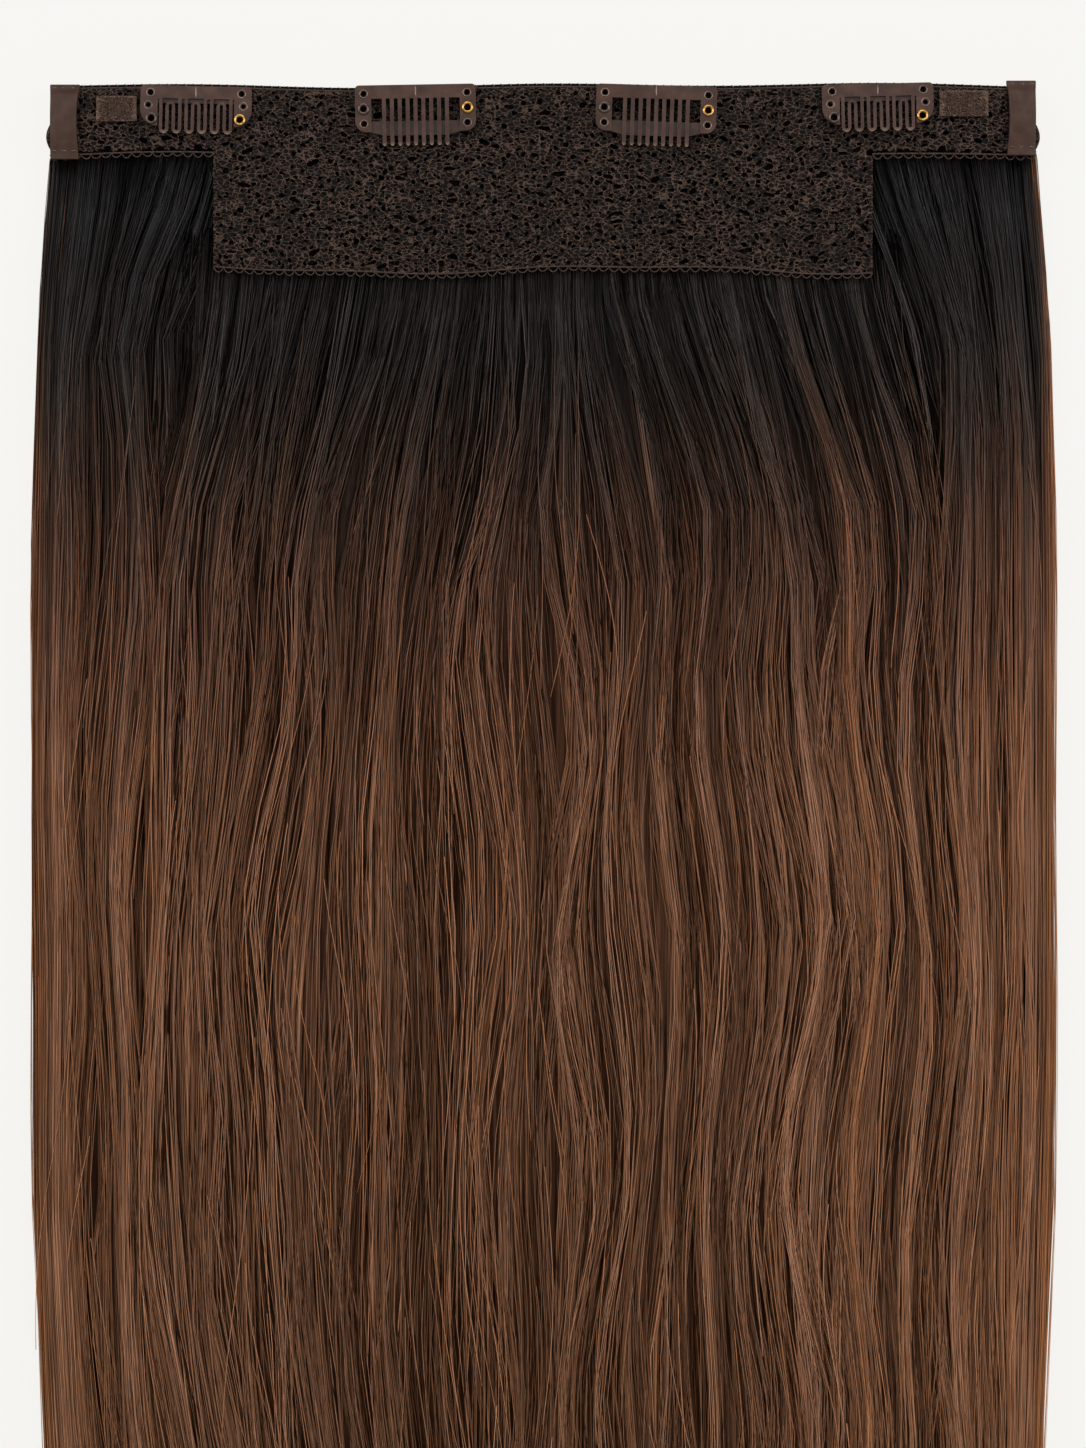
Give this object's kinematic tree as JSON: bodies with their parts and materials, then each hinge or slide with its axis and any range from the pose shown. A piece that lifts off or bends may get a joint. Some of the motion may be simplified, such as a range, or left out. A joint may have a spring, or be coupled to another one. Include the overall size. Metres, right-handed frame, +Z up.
{
  "type": "halo hair extension",
  "caption": "Halo hair extension lying inner side up: T-shaped lace base with snap clips, wire loops and hook-and-loop patches, and long softly waved brown hair.",
  "frame": {"origin": "on the table under the middle of the box round the whole piece", "axes": "+X along the lace band, +Y from the hair tips to the band, +Z up from the table, out of the lace"},
  "size_m": [0.3108, 0.508, 0.011],
  "materials": {
    "hair": "satin, dark roots to brown",
    "lace": "matt open net",
    "tab": "smooth, satin",
    "patch": "fuzzy, matt",
    "clip_steel": "brown enamel",
    "eyelet_brass": "polished"
  },
  "bodies": {
    "base": {"upper_weft": "hair", "lower_weft": "hair", "lace_base": "lace", "wire_tab_left": "tab", "wire_tab_right": "tab", "patch_left": "patch", "patch_right": "patch", "clip_1_frame": "clip_steel", "clip_2_frame": "clip_steel", "clip_3_frame": "clip_steel", "clip_4_frame": "clip_steel"},
    "clip_1_top": {"clip_1_comb": "clip_steel", "clip_1_rivet": "clip_steel", "clip_1_eyelet": "eyelet_brass"},
    "clip_2_top": {"clip_2_comb": "clip_steel", "clip_2_rivet": "clip_steel", "clip_2_eyelet": "eyelet_brass"},
    "clip_3_top": {"clip_3_comb": "clip_steel", "clip_3_rivet": "clip_steel", "clip_3_eyelet": "eyelet_brass"},
    "clip_4_top": {"clip_4_comb": "clip_steel", "clip_4_rivet": "clip_steel", "clip_4_eyelet": "eyelet_brass"}
  },
  "joints": [
    {"name": "clip_1_snap", "type": "hinge", "parent": "base", "child": "clip_1_top", "pos_m": [-0.10497, 0.2522, 0.0095], "axis": [-0.9998, 0.0209, 0], "range_deg": [0, 35]},
    {"name": "clip_2_snap", "type": "hinge", "parent": "base", "child": "clip_2_top", "pos_m": [-0.03872, 0.2527, 0.0095], "axis": [-0.9998, -0.0175, 0], "range_deg": [0, 35]},
    {"name": "clip_3_snap", "type": "hinge", "parent": "base", "child": "clip_3_top", "pos_m": [0.03452, 0.2525, 0.0095], "axis": [-0.9995, 0.0314, 0], "range_deg": [0, 35]},
    {"name": "clip_4_snap", "type": "hinge", "parent": "base", "child": "clip_4_top", "pos_m": [0.10125, 0.253, 0.0095], "axis": [-0.9997, -0.0244, 0], "range_deg": [0, 35]}
  ]
}
